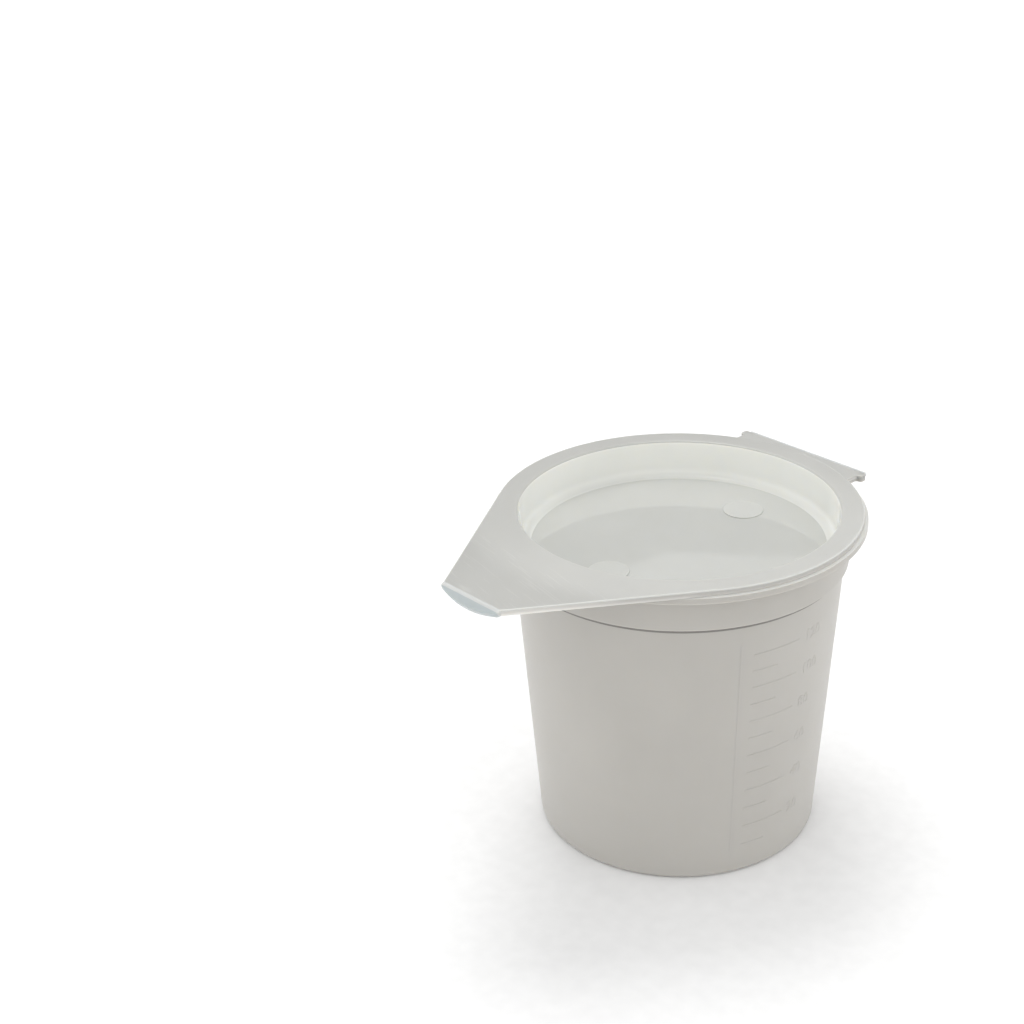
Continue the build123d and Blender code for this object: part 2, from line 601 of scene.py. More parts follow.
@dataclass(frozen=True)
class Polypropylene:
    """Natural polypropylene as it leaves the mould.

    Attributes:
        name: The material's name.
        tone: Linear colour of the plastic at its usual thickness.
        roughness: Of the moulded surface.
        depth: How far light travels inside it.
        shine: Strength of the reflections that face the eye.
        clouding: How much its colour drifts from place to place.
        cloud_scale: How many drifts fit in a metre.
        ripple: Height of the slow ripples that cooling leaves.
        ripple_scale: How many ripples fit in a metre.
        grain: Height of the fine moulded grain.
        grain_scale: How many grains fit in a metre.
        gloss_drift: How much the grain changes the roughness, as a share of it.
        fades: Changes of tone across the piece, which paint light and shade onto it.
        scuffed: Where the surface has fine lighter scratch lines that also stand for a painted sheen, if it
            has any, and how light they are.
    """

    name: str
    tone: tuple[float, float, float]
    roughness: float = 0.3
    depth: float = 0.6 * MM
    shine: float = 0.5
    clouding: float = 0.03
    cloud_scale: float = 55.0
    ripple: float = 0.05 * MM
    ripple_scale: float = 90.0
    grain: float = 0.002 * MM
    grain_scale: float = 1400.0
    gloss_drift: float = 0.15
    fades: tuple[Fade, ...] = ()
    scuffed: Fade | None = None

    def shade(self, factor: float) -> Rgba:
        """The tone made lighter or darker, with full opacity."""
        return (*(channel * factor for channel in self.tone), 1.0)

    def scratches(self, board: NodeBoard, place: Socket) -> Socket:
        """Draw fine lighter scratch lines, partly a painted sheen, that run across the piece, slightly
        aslant.

        Args:
            board: The material's nodes.
            place: The place on the piece.

        Returns:
            How strong they are: 0 between them and outside the zone of the scratch sheen.
        """
        one_scratch = {"Vector": place, "Rotation": (0.0, 0.0, SCRATCH_TURN), "Scale": SCRATCH_SIZE}
        stretched = board.add("ShaderNodeMapping", one_scratch, vector_type="TEXTURE").outputs["Vector"]
        fine = board.measure(board.noise(stretched, 1.0, detail=1.0), *SCRATCH_CORE)
        return board.calculate("MULTIPLY", fine, self.scuffed.share(board, place))

    def material(self) -> bpy.types.Material:
        """Build the material, or find it if it was built before.

        Returns:
            The node material.
        """
        if self.name in bpy.data.materials:
            return bpy.data.materials[self.name]
        made = bpy.data.materials.new(self.name)
        board = NodeBoard(made)
        place = board.add("ShaderNodeTexCoord", {}).outputs["Object"]
        cloud = board.noise(place, self.cloud_scale, detail=3.0)
        speck = board.noise(place, self.grain_scale, detail=2.0)
        slow = board.noise(place, self.ripple_scale, detail=1.0)
        tone = board.tint(cloud, self.shade(1 - self.clouding), self.shade(1 + self.clouding / 2))
        for fade in self.fades:
            tone = board.mix(fade.share(board, place), tone, grey(fade.factor), "MULTIPLY")
        # Lighter scratch lines, partly a painted sheen.
        if self.scuffed:
            tone = board.mix(self.scratches(board, place), tone, grey(self.scuffed.factor), "MULTIPLY")
        gloss = board.add(
            "ShaderNodeMapRange",
            {
                "Value": speck,
                "To Min": self.roughness * (1 - self.gloss_drift),
                "To Max": self.roughness * (1 + self.gloss_drift),
            },
        )
        waves = board.add("ShaderNodeBump", {"Height": slow, "Distance": self.ripple, "Strength": 1.0})
        fine = board.add(
            "ShaderNodeBump",
            {"Height": speck, "Distance": self.grain, "Strength": 1.0, "Normal": waves.outputs["Normal"]},
        )
        board.feed(
            board.shader,
            {
                "Base Color": tone,
                "Roughness": gloss.outputs["Result"],
                "Normal": fine.outputs["Normal"],
                "IOR": REFRACTION,
                "Specular IOR Level": self.shine,
                "Subsurface Weight": 1.0,
                "Subsurface Radius": COLOUR_DEPTHS,
                "Subsurface Scale": self.depth,
            },
        )
        return made


SIZES = FrameSizes.measured()
FLANGE = SIZES.flange_radius
RIM_LEVEL = SIZES.rim_level
PLUG_BOTTOM = SIZES.plug_bottom

WALL = Polypropylene("satin_wall", tone=(0.52, 0.505, 0.474), roughness=0.42, shine=0.15)
# Painted shade: a dark band under the collar's step, where its overhang shades the wall.
STEP_SHADE = Polypropylene("step_painted_shade", tone=(0.28, 0.27, 0.255), roughness=0.6, shine=0.1)
MARK = Polypropylene(
    "raised_mark", tone=(0.53, 0.514, 0.482), roughness=0.42, depth=0.05 * MM, shine=0.15
)
# Painted light: the inside of the cup is far lighter than the outside of the same wall.
MOUTH_LIT = Polypropylene("inner_wall_painted_light", tone=(0.85, 0.855, 0.83), roughness=0.3)
# Painted shade: the up-facing inner step is toned down from the painted light inside the cup.
INNER_STEP_SHADE = Polypropylene("inner_step_painted_shade", tone=(0.80, 0.805, 0.78), roughness=0.3)
RIM = Polypropylene("rim", tone=(0.58, 0.58, 0.555), roughness=0.3)
FILM = Polypropylene("stretched_film", tone=(0.58, 0.60, 0.60), roughness=0.25)
# Painted shade: the plate is darker out on the tab, towards -X and towards the hinge.
PLATE_SHADED = Polypropylene(
    "lid_plate",
    tone=(0.555, 0.555, 0.53),
    roughness=0.3,
    fades=(
        Fade(Across.RADIUS, FLANGE + 0.5 * MM, FLANGE + 8.5 * MM, 0.88),
        Fade(Across.LEFT, -5 * MM, FLANGE - 2.5 * MM, 0.87),
        Fade(Across.BACK, FLANGE - 17.5 * MM, FLANGE + 0.5 * MM, 0.9),
    ),
    scuffed=Fade(Across.BACK, 1.5 * MM - FLANGE, -1.0 * MM - FLANGE, 1.06),
)
# Painted shade: the lid's hinge leaf is darker than the plate, and darker still out at its ears.
LEAF_SHADE = Polypropylene(
    "thin_leaf_painted_shade",
    tone=(0.50, 0.50, 0.48),
    roughness=0.3,
    fades=(Fade(Across.RADIUS, FLANGE + 2.5 * MM, FLANGE + 3.9 * MM, 0.87),),
)
# Painted light: the strip of the flange's top beyond the lid's edge, lighter towards the lid, where the lid
# shades it.
LEDGE_LIT = Polypropylene(
    "ledge_painted_light",
    tone=(0.62, 0.62, 0.595),
    depth=0.1 * MM,
    fades=(Fade(Across.RADIUS, FLANGE - 0.1 * MM, SIZES.lid_flange_radius - 0.1 * MM, 1.3),),
)
# Painted light: the lid's upright side is lighter out on the tab and lower down, next to the cup's flange.
SIDE_LIT = Polypropylene(
    "lid_side_painted_light",
    tone=(0.51, 0.50, 0.475),
    roughness=0.34,
    depth=0.1 * MM,
    fades=(
        Fade(Across.RADIUS, FLANGE + 0.5 * MM, FLANGE + 10.5 * MM, 1.25),
        Fade(Across.HEIGHT, RIM_LEVEL + 0.7 * MM, RIM_LEVEL, 1.3),
    ),
)
# Painted highlight along the lid's rounded upper edge.
EDGE = Polypropylene("edge_painted_highlight", tone=(0.60, 0.605, 0.585), roughness=0.25)
# Painted highlight along the crease between the tab and its lip.
CREASE_HIGHLIGHT = Polypropylene("crease", tone=(0.59, 0.60, 0.59), roughness=0.22)
# Painted shade: the bent lip is darker than the plate, with a bluish cast.
LIP_SHADE = Polypropylene("thin_lip_painted_shade", tone=(0.46, 0.50, 0.505), roughness=0.25)
# Painted light: the well's wall is painted lighter above the floor's rounding and towards +X.
WELL_LIT = Polypropylene(
    "well_wall_painted_light",
    tone=(0.625, 0.63, 0.60),
    roughness=0.12,
    fades=(
        Fade(Across.HEIGHT, PLUG_BOTTOM + 0.5 * MM, PLUG_BOTTOM + 2.1 * MM, 1.42),
        Fade(Across.LEFT, -12 * MM, -26 * MM, 1.08),
    ),
)
FLOOR = Polypropylene("polished_floor", tone=(0.54, 0.545, 0.52), roughness=0.03, ripple=0.0, grain=0.0)
PAD = Polypropylene("matt_pad", tone=(0.52, 0.525, 0.50), roughness=0.6, grain=0.006 * MM)
UNDERSIDE = Polypropylene("lid_underside", tone=(0.52, 0.53, 0.52), roughness=0.3)
PLUG_BASE = Polypropylene("plug_base", tone=(0.41, 0.415, 0.415), roughness=0.2)


@dataclass
class HingeLeaf:
    """The flat plate, on the cup and again on the lid, that carries the film."""

    sizes: FrameSizes
    thickness: float = 0.65 * MM
    neck_half_width: float = 14.6 * MM
    ear_width: float = 1.1 * MM
    ear_depth: float = 1.8 * MM
    corner_rounding: float = 0.8 * MM
    neck_rounding: float = 0.5 * MM
    root_distance: float = 26.0 * MM
    edge_rounding: float = 0.15 * MM
    hidden_length: float = 1.0 * MM  # of its inner end, whose edges stay sharp

    def solid(self, bottom: float, shows_top: bool) -> Workpiece:
        """Cut the leaf from sheet, with an ear at each end of its outer bar.

        Args:
            bottom: Level of the leaf's lower face.
            shows_top: Whether its top shows, and has its edges eased, or its lower face.

        Returns:
            The leaf, reaching inwards under the flange.
        """
        half_width = self.neck_half_width + self.ear_width
        bar = self.sizes.leaf_edge - self.ear_depth
        half = [
            (self.neck_half_width, self.root_distance, 0.0),
            (self.neck_half_width, bar, self.neck_rounding),
            (half_width, bar, self.neck_rounding),
            (half_width, self.sizes.leaf_edge, self.corner_rounding),
        ]
        right = [Corner(Vector((x, y, bottom)), rounding) for x, y, rounding in half]
        left = [Corner(Vector((-x, y, bottom)), rounding) for x, y, rounding in reversed(half)]
        leaf = Workpiece.outlined("leaf", right + left).thicken(Vector((0, 0, self.thickness)))
        hidden_end = self.root_distance + self.hidden_length
        shown = bottom + self.thickness if shows_top else bottom
        leaf.ease_edges(
            lambda edge: all(abs(end.co.z - shown) < WELD for end in edge.verts)
            and max(end.co.y for end in edge.verts) > hidden_end,
            self.edge_rounding,
        )
        return leaf


@dataclass
class Cup:
    """The tapered cup: wall, foot ring, step, collar, rim flange and hinge leaf."""

    sizes: FrameSizes
    flange_thickness: float = 1.3 * MM
    flange_overhang: float = 2.9 * MM
    collar_draft: float = 0.3 * MM
    ledge_depth: float = 8.3 * MM
    ledge_width: float = 0.8 * MM
    shade_depth: float = 0.8 * MM  # of the band of painted shade under the step, at the top of the wall
    wall_draft: float = 4.1 * MM
    wall_thickness: float = 0.9 * MM
    base_thickness: float = 1.1 * MM
    foot_rise: float = 1.0 * MM
    foot_ring_width: float = 1.7 * MM
    foot_ring_draft: float = 0.5 * MM
    inner_step_rise: float = 0.55 * MM
    gate_radius: float = 2.0 * MM
    gate_depth: float = 0.3 * MM
    gate_rounding: float = 0.1 * MM
    ring_top_rounding: float = 0.3 * MM
    ring_rounding: float = 0.25 * MM
    foot_rounding: float = 1.1 * MM
    ledge_root_rounding: float = 0.1 * MM
    ledge_rounding: float = 0.25 * MM
    flange_root_rounding: float = 0.4 * MM
    flange_lower_rounding: float = 0.2 * MM
    flange_upper_rounding: float = 0.12 * MM
    mouth_rounding: float = 0.6 * MM
    inner_step_rounding: float = 0.2 * MM
    floor_rounding: float = 1.5 * MM
    leaf_grip: float = 1.5 * MM  # how far the leaf reaches in under the flange
    leaf_inset: float = 0.02 * MM  # of the leaf's top below the flange's
    rim_zone: float = 0.3 * MM  # below the rim, where its top is painted
    rim_tilt: float = radians(60)  # from level, of the steepest face painted with it
    inner_step_zone: float = 0.25 * MM  # above and below the inner step, where its painted shade lies

    def __post_init__(self) -> None:
        """Work out the radii and levels that several sections share."""
        self.rim = self.sizes.rim_level
        self.flange_underside = self.rim - self.flange_thickness
        self.ledge_level = self.rim - self.ledge_depth
        self.shade_level = self.ledge_level - self.shade_depth
        self.inner_ledge_level = self.ledge_level + self.inner_step_rise
        self.floor_level = self.foot_rise + self.base_thickness
        self.collar_top_radius = self.sizes.flange_radius - self.flange_overhang
        self.collar_base_radius = self.collar_top_radius - self.collar_draft
        self.foot_radius = self.collar_base_radius - self.ledge_width - self.wall_draft
        self.collar_slope = self.collar_draft / (self.flange_underside - self.ledge_level)

    def wall_radius(self, level: float) -> float:
        """Outside radius of the tapered wall at a level."""
        return self.foot_radius + self.wall_draft * level / self.ledge_level

    def inner_radius(self, level: float) -> float:
        """Inside radius of the tapered wall at a level."""
        return self.wall_radius(level) - self.wall_thickness

    def mouth_radius(self) -> float:
        """Inside radius of the collar at the rim."""
        return self.collar_top_radius + self.collar_slope * self.flange_thickness - self.wall_thickness

    def section(self) -> list[Corner]:
        """The turned section, from the gate mark round the outside and back to the floor inside.

        Returns:
            The corners with their roundings.
        """
        ring_inner = self.foot_radius - self.foot_ring_width
        step_above = self.inner_ledge_level - self.ledge_level
        collar_inner_base = self.collar_base_radius + self.collar_slope * step_above - self.wall_thickness
        inner_step_radius = self.inner_radius(self.inner_ledge_level)
        return [
            upright(0, self.foot_rise + self.gate_depth),
            upright(self.gate_radius, self.foot_rise + self.gate_depth, self.gate_rounding),
            upright(self.gate_radius, self.foot_rise, self.gate_rounding),
            upright(ring_inner - self.foot_ring_draft, self.foot_rise, self.ring_top_rounding),
            upright(ring_inner, 0, self.ring_rounding),
            upright(self.foot_radius, 0, self.foot_rounding),
            upright(self.wall_radius(self.shade_level), self.shade_level),
            upright(self.wall_radius(self.ledge_level), self.ledge_level, self.ledge_root_rounding),
            upright(self.collar_base_radius, self.ledge_level, self.ledge_rounding),
            upright(self.collar_top_radius, self.flange_underside, self.flange_root_rounding),
            upright(self.sizes.flange_radius, self.flange_underside, self.flange_lower_rounding),
            upright(self.sizes.flange_radius, self.rim, self.flange_upper_rounding),
            upright(self.sizes.lid_flange_radius, self.rim),
            upright(self.mouth_radius(), self.rim, self.mouth_rounding),
            upright(collar_inner_base, self.inner_ledge_level, self.inner_step_rounding),
            upright(inner_step_radius, self.inner_ledge_level, self.inner_step_rounding),
            upright(self.inner_radius(self.floor_level), self.floor_level, self.floor_rounding),
            upright(0, self.floor_level),
        ]

    def build(self) -> bpy.types.Object:
        """Turn the cup, join the leaf to it and paint its outside, mouth and leaf, with painted shade under
        the step and on the inner step, and painted light inside and on the ledge.

        Returns:
            The cup.
        """
        cup = Workpiece.turned("beaker_cup", self.section())
        leaf = HingeLeaf(self.sizes)
        plate = leaf.solid(self.rim - self.leaf_inset - leaf.thickness, shows_top=False)
        keep_out_radius = self.sizes.flange_radius - self.leaf_grip
        keep_out = Workpiece.turned(
            "mouth_keep_out",
            [
                upright(0, self.flange_underside - BEYOND),
                upright(keep_out_radius, self.flange_underside - BEYOND),
                upright(keep_out_radius, self.rim + BEYOND),
                upright(0, self.rim + BEYOND),
            ],
        )
        plate.combine(keep_out, Fusion.CUT)
        cup.combine(plate, Fusion.JOIN)
        cup.smooth()
        cup.paint(WALL)
        # Painted shade under the step, at the top of the wall.
        cup.paint(STEP_SHADE, lambda face: self.shade_level < middle_level(face) < self.ledge_level + 5 * HAIR)
        cup.paint(RIM, self.is_rim)
        lid_edge = self.sizes.lid_flange_radius + 2 * HAIR
        # Painted light on the strip of the flange that the lid shades.
        cup.paint(LEDGE_LIT, lambda face: self.is_rim(face) and reach(face) > lid_edge)
        # Painted light on the inside of the cup.
        cup.paint(MOUTH_LIT, self.is_inside)
        # Painted shade on the up-facing inner step.
        cup.paint(INNER_STEP_SHADE, lambda face: self.is_inside(face) and self.is_inner_ledge(face))
        return cup.seat(Body.CUP, Slot.CUP, replaced="cup")

    def is_rim(self, face: bmesh.types.BMFace) -> bool:
        """Whether a face belongs to the top of the flange."""
        return middle_level(face) > self.rim - self.rim_zone and face.normal.z > cos(self.rim_tilt)

    def is_inner_ledge(self, face: bmesh.types.BMFace) -> bool:
        """Whether a face lies at the level of the step inside."""
        return abs(middle_level(face) - self.inner_ledge_level) < self.inner_step_zone

    def is_inside(self, face: bmesh.types.BMFace) -> bool:
        """Whether a face belongs to the inside of the cup.

        Args:
            face: The face.

        Returns:
            True on the floor, the inner wall, the step and the collar's inside.
        """
        middle = face.calc_center_median()
        if middle.z < self.floor_level - 10 * HAIR:
            return False
        is_below_step = middle.z < self.inner_ledge_level - self.inner_step_zone
        skin = self.wall_radius(middle.z) - self.wall_thickness / 2
        return middle.to_2d().length < (skin if is_below_step else self.mouth_radius() + 5 * HAIR)


@dataclass
class Scale:
    """The raised graduations on the cup: marks, their numbers and the line beside them."""

    cup: Cup
    step: int = 10
    headroom: float = 5.0 * MM
    line_width: float = 0.4 * MM
    relief: float = 0.03 * MM
    border_relief: float = 0.01 * MM
    root: float = 0.1 * MM
    start_angle: float = radians(-20)
    short_arc: float = radians(10)
    long_arc: float = radians(19)
    border_angle: float = radians(-25)
    border_bottom: float = 5.0 * MM
    border_top: float = 52.0 * MM
    number_height: float = 2.3 * MM
    digit_share: float = 0.7  # of the font's size, that a digit is high
    digit_curve_steps: int = 3
    number_angle: float = radians(2)

    def level(self, millilitres: float) -> float:
        """Level of the liquid's surface at a volume.

        Args:
            millilitres: The volume in the cup.

        Returns:
            The level above the table.
        """
        slope = self.cup.wall_draft / self.cup.ledge_level
        floor_radius = self.cup.inner_radius(self.cup.floor_level)
        cube = floor_radius**3 + 3 * slope * millilitres * MILLILITRE / pi
        return self.cup.floor_level + (cube ** (1 / 3) - floor_radius) / slope

    def ridge(
        self, name: str, bottom: float, top: float, start: float, arc: float, relief: float
    ) -> Workpiece:
        """Raise one ridge on the wall.

        Args:
            name: The object's name.
            bottom: Its lower edge.
            top: Its upper edge.
            start: The angle where it begins.
            arc: The angle that it covers.
            relief: How far it stands proud.

        Returns:
            The ridge, rooted in the wall.
        """
        low, high = self.cup.wall_radius(bottom), self.cup.wall_radius(top)
        section = [
            upright(low - self.root, bottom),
            upright(low + relief, bottom, relief / 2),
            upright(high + relief, top, relief / 2),
            upright(high - self.root, top),
        ]
        piece = Workpiece.outlined(name, section)
        with piece.editing():
            piece.spin(-arc, max(2, round(degrees(arc))))
        piece.obj.rotation_euler.z = start
        piece.activate()
        bpy.ops.object.transform_apply(location=False, rotation=True, scale=False)
        return piece

    def number(self, millilitres: int) -> Workpiece:
        """Raise one number beside its mark.

        Args:
            millilitres: The number.

        Returns:
            The number, wrapped on the wall.
        """
        deselect_all()
        bpy.ops.object.text_add()
        text = bpy.context.object
        text.data.body = str(millilitres)
        text.data.size = self.number_height / self.digit_share
        text.data.align_y = "CENTER"
        text.data.extrude = (self.relief + self.root) / 2
        text.data.resolution_u = self.digit_curve_steps
        bpy.ops.object.convert(target="MESH")
        piece = Workpiece(bpy.context.object)
        with piece.editing():
            piece.weld()
            piece.face_outwards()
        level = self.level(millilitres)
        radius = self.cup.wall_radius(level)
        for vertex in piece.obj.data.vertices:
            along, up, out = vertex.co
            angle = self.number_angle + along / radius
            distance = self.cup.wall_radius(level + up) + out + (self.relief - self.root) / 2
            vertex.co = (distance * cos(angle), distance * sin(angle), level + up)
        return piece

    def build(self) -> list[bpy.types.Object]:
        """Raise every mark and number that fits under the step.

        Returns:
            The marks as one piece and the numbers as another.
        """
        low, high = self.border_bottom, self.border_top
        border_arc = self.line_width / self.cup.wall_radius(high)
        marks = [self.ridge("border", low, high, self.border_angle, border_arc, self.border_relief)]
        numbers = []
        millilitres = self.step
        while self.level(millilitres) < self.cup.ledge_level - self.headroom:
            is_long = millilitres % (2 * self.step) == 0
            level = self.level(millilitres)
            bottom, top = level - self.line_width / 2, level + self.line_width / 2
            arc = self.long_arc if is_long else self.short_arc
            marks.append(self.ridge("mark", bottom, top, self.start_angle, arc, self.relief))
            if is_long:
                numbers.append(self.number(millilitres))
            millilitres += self.step
        return [self.gather("scale_marks", marks), self.gather("scale_numbers", numbers)]

    def gather(self, name: str, ridges: list[Workpiece]) -> bpy.types.Object:
        """Join the ridges of one kind into one piece.

        Args:
            name: The piece's name.
            ridges: Its ridges.

        Returns:
            The finished piece.
        """
        first, *others = ridges
        first.absorb(others)
        first.obj.name = first.obj.data.name = name
        first.smooth()
        first.paint(MARK)
        return first.seat(Body.CUP, Slot.CUP)


@dataclass
class Lid:
    """The drop-shaped lid: plate with pull tab and bent lip, hinge leaf, and recessed plug."""

    sizes: FrameSizes
    cup: Cup
    settling: float = 0.16 * MM  # of the flange's underside onto the cup
    edge_rounding: float = 0.25 * MM
    lower_edge_rounding: float = 0.03 * MM
    tab_half_width: float = 7.4 * MM
    tab_corner_rounding: float = 0.9 * MM
    lip_length: float = 2.1 * MM
    lip_angle: float = radians(38)
    lip_steps: int = 24
    crease_rows: int = 5
    crease_row_gap: float = 0.02 * MM  # before the bend
    crease_zone: float = 0.4 * MM  # beyond the bend, where its painted highlight lies
    leaf_inset: float = 0.02 * MM
    plug_clearance: float = 0.35 * MM
    seal_band_height: float = 2.0 * MM
    seal_band_relief: float = 0.3 * MM
    plug_draft: float = 0.2 * MM
    plug_wall: float = 1.0 * MM
    plug_floor: float = 1.0 * MM
    plug_lead_in: float = 0.9 * MM
    plug_overlap: float = 0.4 * MM  # of its top below the plate's
    band_foot_rounding: float = 0.15 * MM
    band_rounding: float = 0.2 * MM
    cutter_margin: float = 0.2 * MM
    recess_rim_round: float = 0.5 * MM
    recess_corner_round: float = 1.8 * MM
    pad_radius: float = 3.9 * MM
    pad_offset: float = 18.5 * MM
    pad_relief: float = 0.2 * MM
    pad_root: float = 0.3 * MM
    pad_rounding: float = 0.1 * MM
    rim_zone: float = 0.25 * MM  # below the plate's top, where the well's wall begins
    edge_zone: float = 1.0 * MM  # in from the flange's radius, where the edge's painted highlight lies

    def __post_init__(self) -> None:
        """Work out the radii and levels of the plug and the tab."""
        self.top, self.underside = self.sizes.lid_top, self.sizes.lid_underside - self.settling
        self.thickness = self.top - self.underside
        self.seal_radius = self.cup.mouth_radius() - self.plug_clearance
        self.plug_root_radius = self.seal_radius - self.seal_band_relief
        self.plug_foot_radius = self.plug_root_radius - self.plug_draft
        self.recess_root_radius = self.seal_radius - self.plug_wall
        self.recess_floor_radius = self.plug_foot_radius - self.plug_wall
        self.floor_level = self.sizes.plug_bottom + self.plug_floor
        self.tab_reach = self.sizes.lip_end - self.lip_length * cos(self.lip_angle)
        self.crease = -self.tab_reach + self.thickness * tan(self.lip_angle / 2)

    def plate(self) -> Workpiece:
        """Cut the drop-shaped plate, round its edges and bend its lip down.

        Returns:
            The plate, without its leaf and its well.
        """
        radius, top = self.sizes.lid_flange_radius, self.top
        end = Vector((self.tab_half_width, -self.tab_reach, top))
        away = end.to_2d().length
        tangent = atan2(end.y, end.x) + acos(radius / away)
        start = Vector((radius * cos(tangent), radius * sin(tangent), top))
        bend_gain = self.thickness * sin(self.lip_angle)
        flat_end = self.crease - (self.sizes.lip_end + self.crease - bend_gain) / cos(self.lip_angle)
        rise = -self.tab_reach - flat_end
        lip_radius = (self.tab_half_width**2 + rise**2) / (2 * rise)
        lip_arc = 2 * atan2(self.tab_half_width, lip_radius - rise)
        piece = Workpiece.from_point("lid_plate", start)
        with piece.editing():
            bpy.ops.mesh.spin(steps=SPIN_STEPS, angle=2 * tangent - pi, center=(0, 0, 0), axis=(0, 0, 1))
            left = Vector((-end.x, end.y, top))
            bpy.ops.mesh.extrude_region_move(
                TRANSFORM_OT_translate={"value": left - Vector((-start.x, start.y, top))}
            )
            bpy.ops.mesh.spin(
                steps=self.lip_steps,
                angle=-lip_arc,
                center=(0, flat_end + lip_radius, top),
                axis=(0, 0, 1),
            )
            bpy.ops.mesh.extrude_region_move(TRANSFORM_OT_translate={"value": start - end})
            piece.weld()
            piece.round_off([Corner(end, self.tab_corner_rounding), Corner(left, self.tab_corner_rounding)])
            bpy.ops.mesh.select_all(action="SELECT")
            bpy.ops.mesh.edge_face_add()
        piece.thicken(Vector((0, 0, -self.thickness)))
        for level, width in ((top, self.edge_rounding), (self.underside, self.lower_edge_rounding)):
            piece.ease_edges(lambda edge: all(abs(end.co.z - level) < WELD for end in edge.verts), width)
        self.bend_lip(piece)
        return piece

    def bend_lip(self, piece: Workpiece) -> None:
        """Cut rows across the tab at the crease, then turn each a little further down.

        Args:
            piece: The flat plate.
        """
        with piece.editing():
            for row in range(self.crease_rows):
                bpy.ops.mesh.select_all(action="SELECT")
                bpy.ops.mesh.bisect(
                    plane_co=(0, self.crease - row * self.crease_row_gap, 0),
                    plane_no=(0, 1, 0),
                    threshold=WELD,
                )
            flat = {vertex.index: vertex.co.y for vertex in bmesh.from_edit_mesh(piece.obj.data).verts}
            for row in range(1, self.crease_rows):
                limit = self.crease - (row - 0.5) * self.crease_row_gap
                piece.select(lambda vertex: flat[vertex.index] < limit)
                bpy.ops.transform.rotate(
                    value=-self.lip_angle / (self.crease_rows - 1),
                    orient_axis="X",
                    center_override=(0, self.crease, self.underside),
                )

    def plug(self) -> Workpiece:
        """Turn the plug with its seal band and eased lower edge.

        Returns:
            The plug, solid, ending inside the plate.
        """
        band_foot = self.underside - self.seal_band_height
        inside_plate = self.top - self.plug_overlap
        return Workpiece.turned(
            "plug",
            [
                upright(0, self.sizes.plug_bottom),
                upright(self.plug_foot_radius, self.sizes.plug_bottom, self.plug_lead_in),
                upright(self.plug_root_radius, band_foot - self.seal_band_relief, self.band_foot_rounding),
                upright(self.seal_radius, band_foot, self.band_rounding),
                upright(self.seal_radius, inside_plate),
                upright(0, inside_plate),
            ],
        )

    def recess(self) -> Workpiece:
        """Turn the cutter of the well, flared at the top to round the well's rim.

        Returns:
            The cutter.
        """
        flare_top = self.top + HAIR
        corner_end = self.recess_floor_radius - self.recess_corner_round - self.cutter_margin
        mouth = self.recess_root_radius + self.recess_rim_round + self.cutter_margin
        return Workpiece.turned(
            "recess",
            [
                upright(0, self.floor_level),
                upright(corner_end, self.floor_level),
                upright(self.recess_floor_radius, self.floor_level, self.recess_corner_round),
                upright(self.recess_root_radius, flare_top, self.recess_rim_round),
                upright(mouth, flare_top),
                upright(mouth, flare_top + BEYOND),
                upright(0, flare_top + BEYOND),
            ],
        )

    def pad(self, offset: float) -> Workpiece:
        """Raise one low round pad on the well's floor.

        Args:
            offset: Its distance from the axis, towards the hinge.

        Returns:
            The pad, rooted in the floor.
        """
        pad = Workpiece.turned(
            "pad",
            [
                upright(0, self.floor_level - self.pad_root),
                upright(self.pad_radius, self.floor_level - self.pad_root),
                upright(self.pad_radius, self.floor_level + self.pad_relief, self.pad_rounding),
                upright(0, self.floor_level + self.pad_relief),
            ],
        )
        pad.obj.location.y = offset
        pad.activate()
        bpy.ops.object.transform_apply(location=True, rotation=False, scale=False)
        return pad

    def build(self) -> bpy.types.Object:
        """Join plate, leaf and plug, cut the well and paint each zone.

        Returns:
            The lid.
        """
        lid = self.plate()
        leaf_bottom = self.underside + self.leaf_inset
        lid.combine(HingeLeaf(self.sizes).solid(leaf_bottom, shows_top=True), Fusion.JOIN)
        lid.combine(self.plug(), Fusion.JOIN)
        lid.combine(self.recess(), Fusion.CUT)
        for offset in (self.pad_offset, -self.pad_offset):
            lid.combine(self.pad(offset), Fusion.JOIN)
        lid.smooth()
        # The plate, with painted shade on the tab, towards -X and towards the hinge.
        lid.paint(PLATE_SHADED)
        lid.paint(UNDERSIDE, lambda face: middle_level(face) < self.underside + HAIR)
        lid.paint(PLUG_BASE, lambda face: middle_level(face) < self.sizes.plug_bottom + 2 * HAIR)
        # Painted light on the upright side, out on the tab and next to the cup.
        lid.paint(SIDE_LIT, self.on_side)
        # Painted highlight on the rounded upper edge.
        lid.paint(EDGE, self.on_edge)
        # Painted shade on the hinge leaf.
        lid.paint(LEAF_SHADE, self.on_leaf)
        # Painted shade on the bent lip.
        lid.paint(LIP_SHADE, lambda face: max(vertex.co.y for vertex in face.verts) < self.crease + HAIR)
        # Painted highlight on the crease.
        lid.paint(CREASE_HIGHLIGHT, self.on_crease)
        # Painted light on the well's wall.
        lid.paint(WELL_LIT, self.in_well)
        floor_top = self.floor_level + 2 * HAIR
        lid.paint(FLOOR, lambda face: self.in_well(face) and middle_level(face) < floor_top)
        lid.paint(PAD, lambda face: self.in_well(face) and self.on_pad(face))
        return lid.seat(Body.LID, Slot.LID, replaced="lid")

    def on_side(self, face: bmesh.types.BMFace) -> bool:
        """Whether a face belongs to the upright side all round the plate."""
        return reach(face) > self.sizes.lid_flange_radius - 10 * HAIR and abs(face.normal.z) < UPRIGHT

